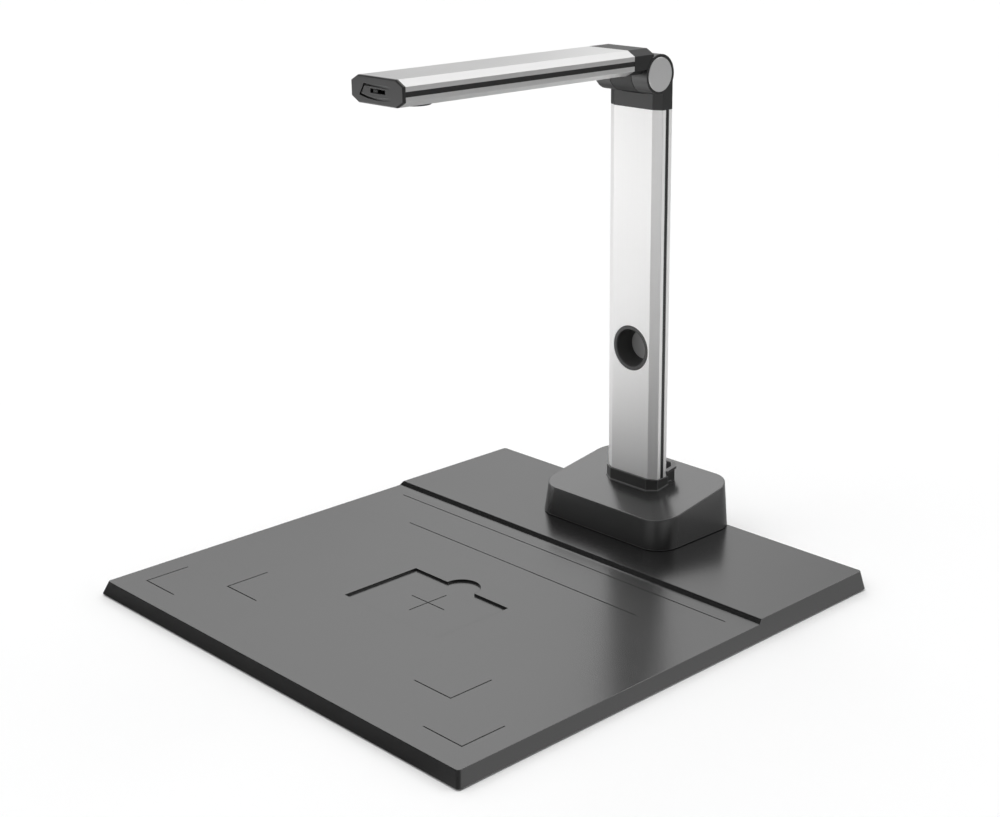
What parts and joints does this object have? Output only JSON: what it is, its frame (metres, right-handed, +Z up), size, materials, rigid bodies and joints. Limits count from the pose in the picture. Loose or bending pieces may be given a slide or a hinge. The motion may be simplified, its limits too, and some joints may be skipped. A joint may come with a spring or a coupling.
{
  "type": "book scanner",
  "caption": "Book scanner: dark engraved scan plate, aluminium column on a pedestal and a camera arm that folds down against the column.",
  "frame": {"origin": "centre of the footprint on the resting surface", "axes": "+Z up, +Y to the back where the column stands, +X to the user's right"},
  "size_m": [0.3378, 0.3512, 0.33],
  "materials": {
    "deck_plastic": "satin, fine moulded grain",
    "housing_plastic": "satin to semi-gloss",
    "cover_plastic": "matte",
    "foot_rubber": "matte",
    "anodised_aluminium": "satin anodised, fine lengthwise grain",
    "strip_plastic": "satin",
    "silver_cap": "satin silver",
    "screw_steel": "satin",
    "shaft_steel": "ground",
    "die_cast": "as cast",
    "friction_polymer": "matte",
    "board_green": "solder mask",
    "socket_metal": "plated",
    "lens_black": "matte",
    "lens_glass": "clear, coated",
    "light_diffuser": "frosted",
    "led_white": "phosphor"
  },
  "bodies": {
    "stand": {"scan_plate": "deck_plastic", "plate_cover": "cover_plastic", "plate_feet": "foot_rubber", "cover_screws": "screw_steel", "pedestal_shell": "housing_plastic", "pedestal_base": "cover_plastic", "base_screws": "screw_steel", "shell_screws": "screw_steel", "column_foot": "die_cast", "foot_screws": "screw_steel", "base_board": "board_green", "board_screws": "screw_steel", "usb_socket": "socket_metal", "socket_collar": "housing_plastic", "column_profile": "anodised_aluminium", "column_strip_left": "strip_plastic", "column_strip_right": "strip_plastic", "lens_pocket": "housing_plastic", "hinge_bracket": "housing_plastic", "bracket_screws": "screw_steel", "hinge_shaft": "shaft_steel", "hinge_cap_left": "silver_cap", "hinge_cap_right": "silver_cap"},
    "arm": {"arm_root_cap": "housing_plastic", "friction_sleeve": "friction_polymer", "arm_profile": "anodised_aluminium", "arm_strip_left": "strip_plastic", "arm_strip_right": "strip_plastic", "tip_cap": "housing_plastic", "switch_body": "lens_black", "lens_ring": "housing_plastic", "lens_window": "lens_glass", "lens_barrel": "lens_black", "lens_glass": "lens_glass", "camera_board": "board_green", "image_sensor": "lens_black", "camera_carrier": "cover_plastic", "camera_screws": "screw_steel", "light_window": "light_diffuser", "light_board": "board_green", "light_leds": "led_white"},
    "switch": {"switch_knob": "lens_black"}
  },
  "joints": [
    {"name": "arm_hinge", "type": "hinge", "parent": "stand", "child": "arm", "pos_m": [0, 0.1312, 0.3137], "axis": [1, 0, 0], "range_deg": [0, 90]},
    {"name": "switch_slide", "type": "slide", "parent": "arm", "child": "switch", "axis": [1, 0, 0], "range_m": [-0.0019, 0.0067]}
  ]
}
